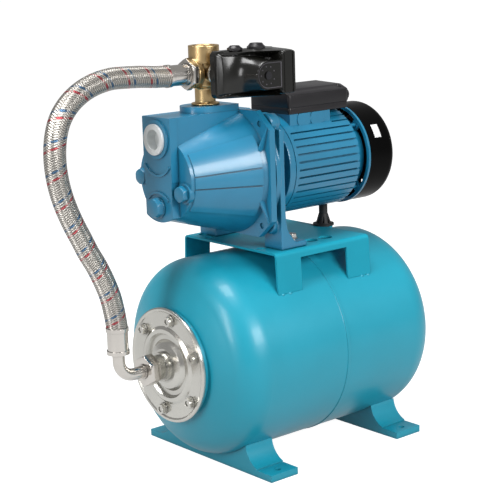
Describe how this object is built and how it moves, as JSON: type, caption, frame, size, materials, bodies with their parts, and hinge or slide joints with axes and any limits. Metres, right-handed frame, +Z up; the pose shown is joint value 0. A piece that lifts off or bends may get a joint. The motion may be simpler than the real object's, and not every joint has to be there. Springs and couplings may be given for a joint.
{
  "type": "shallow well jet pump",
  "caption": "Cast jet pump and finned motor bolted on the deck of a horizontal pressure tank, joined by a braided hose, with a brass fitting and a pressure switch.",
  "frame": {"origin": "on the floor, midway between the four holes of the feet", "axes": "+Z up; X along the tank and the motor shaft, with the suction port and the tank flange towards -X and the fan towards +X; +Y completes the right-handed frame, away from the pressure switch"},
  "size_m": [0.6013, 0.2716, 0.563],
  "materials": {
    "tank_paint": "glossy enamel",
    "pump_paint": "semi-gloss enamel on a casting",
    "zinc": "bright zinc plate",
    "zinc_screw": "bright zinc plate",
    "nickel": "nickel plate",
    "brass": "turned and cast brass",
    "white_plastic": "moulded",
    "black_gloss": "glossy",
    "black_plastic": "satin, moulded",
    "dark_plastic": "moulded",
    "rubber": "matte",
    "steel": "machined",
    "lamination": "stacked sheet",
    "aluminium": "die cast",
    "copper": "enamelled wire",
    "ceramic": "ground",
    "braid": "woven wire"
  },
  "bodies": {
    "station": {"tank_front_shell": "tank_paint", "tank_rear_shell": "tank_paint", "tank_membrane": "rubber", "tank_neck_ring": "tank_paint", "tank_flange": "zinc", "flange_bolts": "zinc_screw", "air_valve_stem": "brass", "front_foot": "tank_paint", "rear_foot": "tank_paint", "deck": "tank_paint", "pump_body": "pump_paint", "side_plugs": "pump_paint", "ejector_nozzle": "brass", "ejector_tube": "dark_plastic", "diffuser": "dark_plastic", "seal_seat": "ceramic", "body_gasket": "rubber", "motor_bracket": "pump_paint", "body_bolts": "pump_paint", "foot_bolts": "zinc_screw", "foot_nuts": "zinc_screw", "motor_frame": "pump_paint", "stator_core": "lamination", "stator_windings": "copper", "bearing_outer_rings": "steel", "rear_end_shield": "pump_paint", "tie_rods": "zinc_screw", "fan_cover": "black_gloss", "fan_cover_screws": "zinc_screw", "terminal_box": "black_plastic", "terminal_box_lid": "black_plastic", "terminal_box_screws": "zinc_screw", "terminal_block": "dark_plastic", "capacitor": "aluminium", "cable_gland": "black_plastic", "motor_support": "rubber", "brass_fitting": "brass", "gauge_port_plug": "brass", "switch_base": "zinc", "switch_cover": "black_gloss", "switch_cover_screw": "zinc_screw", "switch_springs": "steel", "switch_glands": "black_plastic", "hose": "braid", "hose_ferrules": "nickel", "hose_tails": "nickel"},
    "rotor": {"shaft": "steel", "impeller": "brass", "rotor_core": "aluminium", "fan": "dark_plastic", "seal_rotor": "rubber", "bearing_inner_rings": "steel"},
    "ball_sets": {"bearing_balls": "steel"},
    "suction_cap": {"suction_cap": "white_plastic"},
    "air_valve_cap": {"air_valve_cap": "black_plastic"},
    "air_valve_pin": {"air_valve_pin": "brass"},
    "front_plug": {"front_plug": "pump_paint"},
    "hose_upper_nut": {"hose_upper_nut": "nickel"},
    "hose_lower_nut": {"hose_lower_nut": "nickel"},
    "switch_lever": {"switch_lever": "zinc"}
  },
  "joints": [
    {"name": "rotor_spin", "type": "hinge", "parent": "station", "child": "rotor", "pos_m": [0, 0, 0.3935], "axis": [1, 0, 0], "continuous": true},
    {"name": "ball_set_spin", "type": "hinge", "parent": "station", "child": "ball_sets", "pos_m": [0, 0, 0.3935], "axis": [1, 0, 0], "continuous": true},
    {"name": "suction_cap_pull", "type": "slide", "parent": "station", "child": "suction_cap", "axis": [-1, 0, 0], "range_m": [0, 0.08]},
    {"name": "front_plug_pull", "type": "slide", "parent": "station", "child": "front_plug", "axis": [-1, 0, 0], "range_m": [0, 0.03]},
    {"name": "air_valve_cap_pull", "type": "slide", "parent": "station", "child": "air_valve_cap", "axis": [1, 0, 0], "range_m": [0, 0.045]},
    {"name": "air_valve_pin_press", "type": "slide", "parent": "station", "child": "air_valve_pin", "axis": [-1, 0, 0], "range_m": [0, 0.0015], "stiffness_N_per_m": 300},
    {"name": "hose_upper_nut_turn", "type": "hinge", "parent": "station", "child": "hose_upper_nut", "pos_m": [-0.15, 0, 0.526], "axis": [1, 0, 0], "continuous": true},
    {"name": "hose_lower_nut_turn", "type": "hinge", "parent": "station", "child": "hose_lower_nut", "pos_m": [-0.236, 0, 0.1465], "axis": [1, 0, 0], "continuous": true},
    {"name": "switch_lever_tilt", "type": "hinge", "parent": "station", "child": "switch_lever", "pos_m": [-0.076, -0.0427, 0.503], "axis": [1, 0, 0], "range_deg": [-2, 0], "stiffness_Nm_per_rad": 0.6}
  ],
  "couplings": [
    {"joint": "ball_set_spin", "follows": "rotor_spin", "ratio": 0.38}
  ]
}
